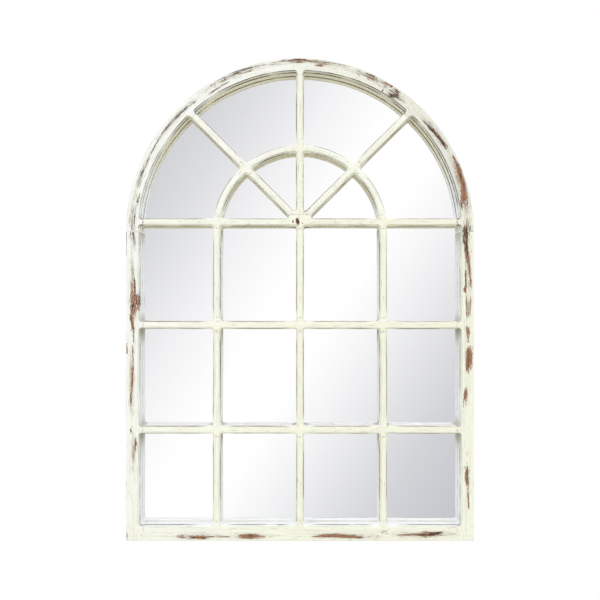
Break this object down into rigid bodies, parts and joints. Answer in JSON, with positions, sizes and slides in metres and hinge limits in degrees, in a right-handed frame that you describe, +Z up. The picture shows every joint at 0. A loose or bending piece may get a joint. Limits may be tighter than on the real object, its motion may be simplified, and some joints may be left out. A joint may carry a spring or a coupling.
{
  "type": "arched window mirror",
  "caption": "Arched wall mirror made as a multi-pane wooden window frame with a fan top, in chipped cream paint, with swinging ring hangers.",
  "frame": {"origin": "centre of the arch, in the plane of the wall, which is also midway between the two wall hooks", "axes": "+X to the viewer's right, +Y into the wall, +Z up"},
  "size_m": [0.7, 0.04, 0.971],
  "materials": {
    "painted_frame": "chipped and worn cream paint",
    "painted_bars": "chipped and worn cream paint",
    "mirror": "silvered sheet",
    "board": "bare hardboard",
    "dowels": "bare beech",
    "screws": "zinc plated",
    "hangers": "zinc plated",
    "bumpers": "matt"
  },
  "bodies": {
    "frame": {"left_stile": "painted_frame", "right_stile": "painted_frame", "bottom_rail": "painted_frame", "left_haunch": "painted_frame", "arch_crown": "painted_frame", "right_haunch": "painted_frame", "upper_bar": "painted_bars", "middle_bar": "painted_bars", "lower_bar": "painted_bars", "centre_bar": "painted_bars", "left_bar": "painted_bars", "right_bar": "painted_bars", "left_spoke": "painted_bars", "right_spoke": "painted_bars", "left_inner_arc": "painted_bars", "right_inner_arc": "painted_bars", "mirror_glass": "mirror", "back_board": "board", "joint_dowels": "dowels", "board_screws": "screws", "hanger_screws": "screws", "left_hanger_strap": "hangers", "right_hanger_strap": "hangers", "wall_bumpers": "bumpers"},
    "left_ring": {"left_hanger_ring": "hangers"},
    "right_ring": {"right_hanger_ring": "hangers"}
  },
  "joints": [
    {"name": "left_ring_swing", "type": "hinge", "parent": "frame", "child": "left_ring", "pos_m": [-0.336, -0.00325, -0.01475], "axis": [1, 0, 0], "range_deg": [0, 180]},
    {"name": "right_ring_swing", "type": "hinge", "parent": "frame", "child": "right_ring", "pos_m": [0.336, -0.00325, -0.01475], "axis": [1, 0, 0], "range_deg": [0, 180]}
  ]
}
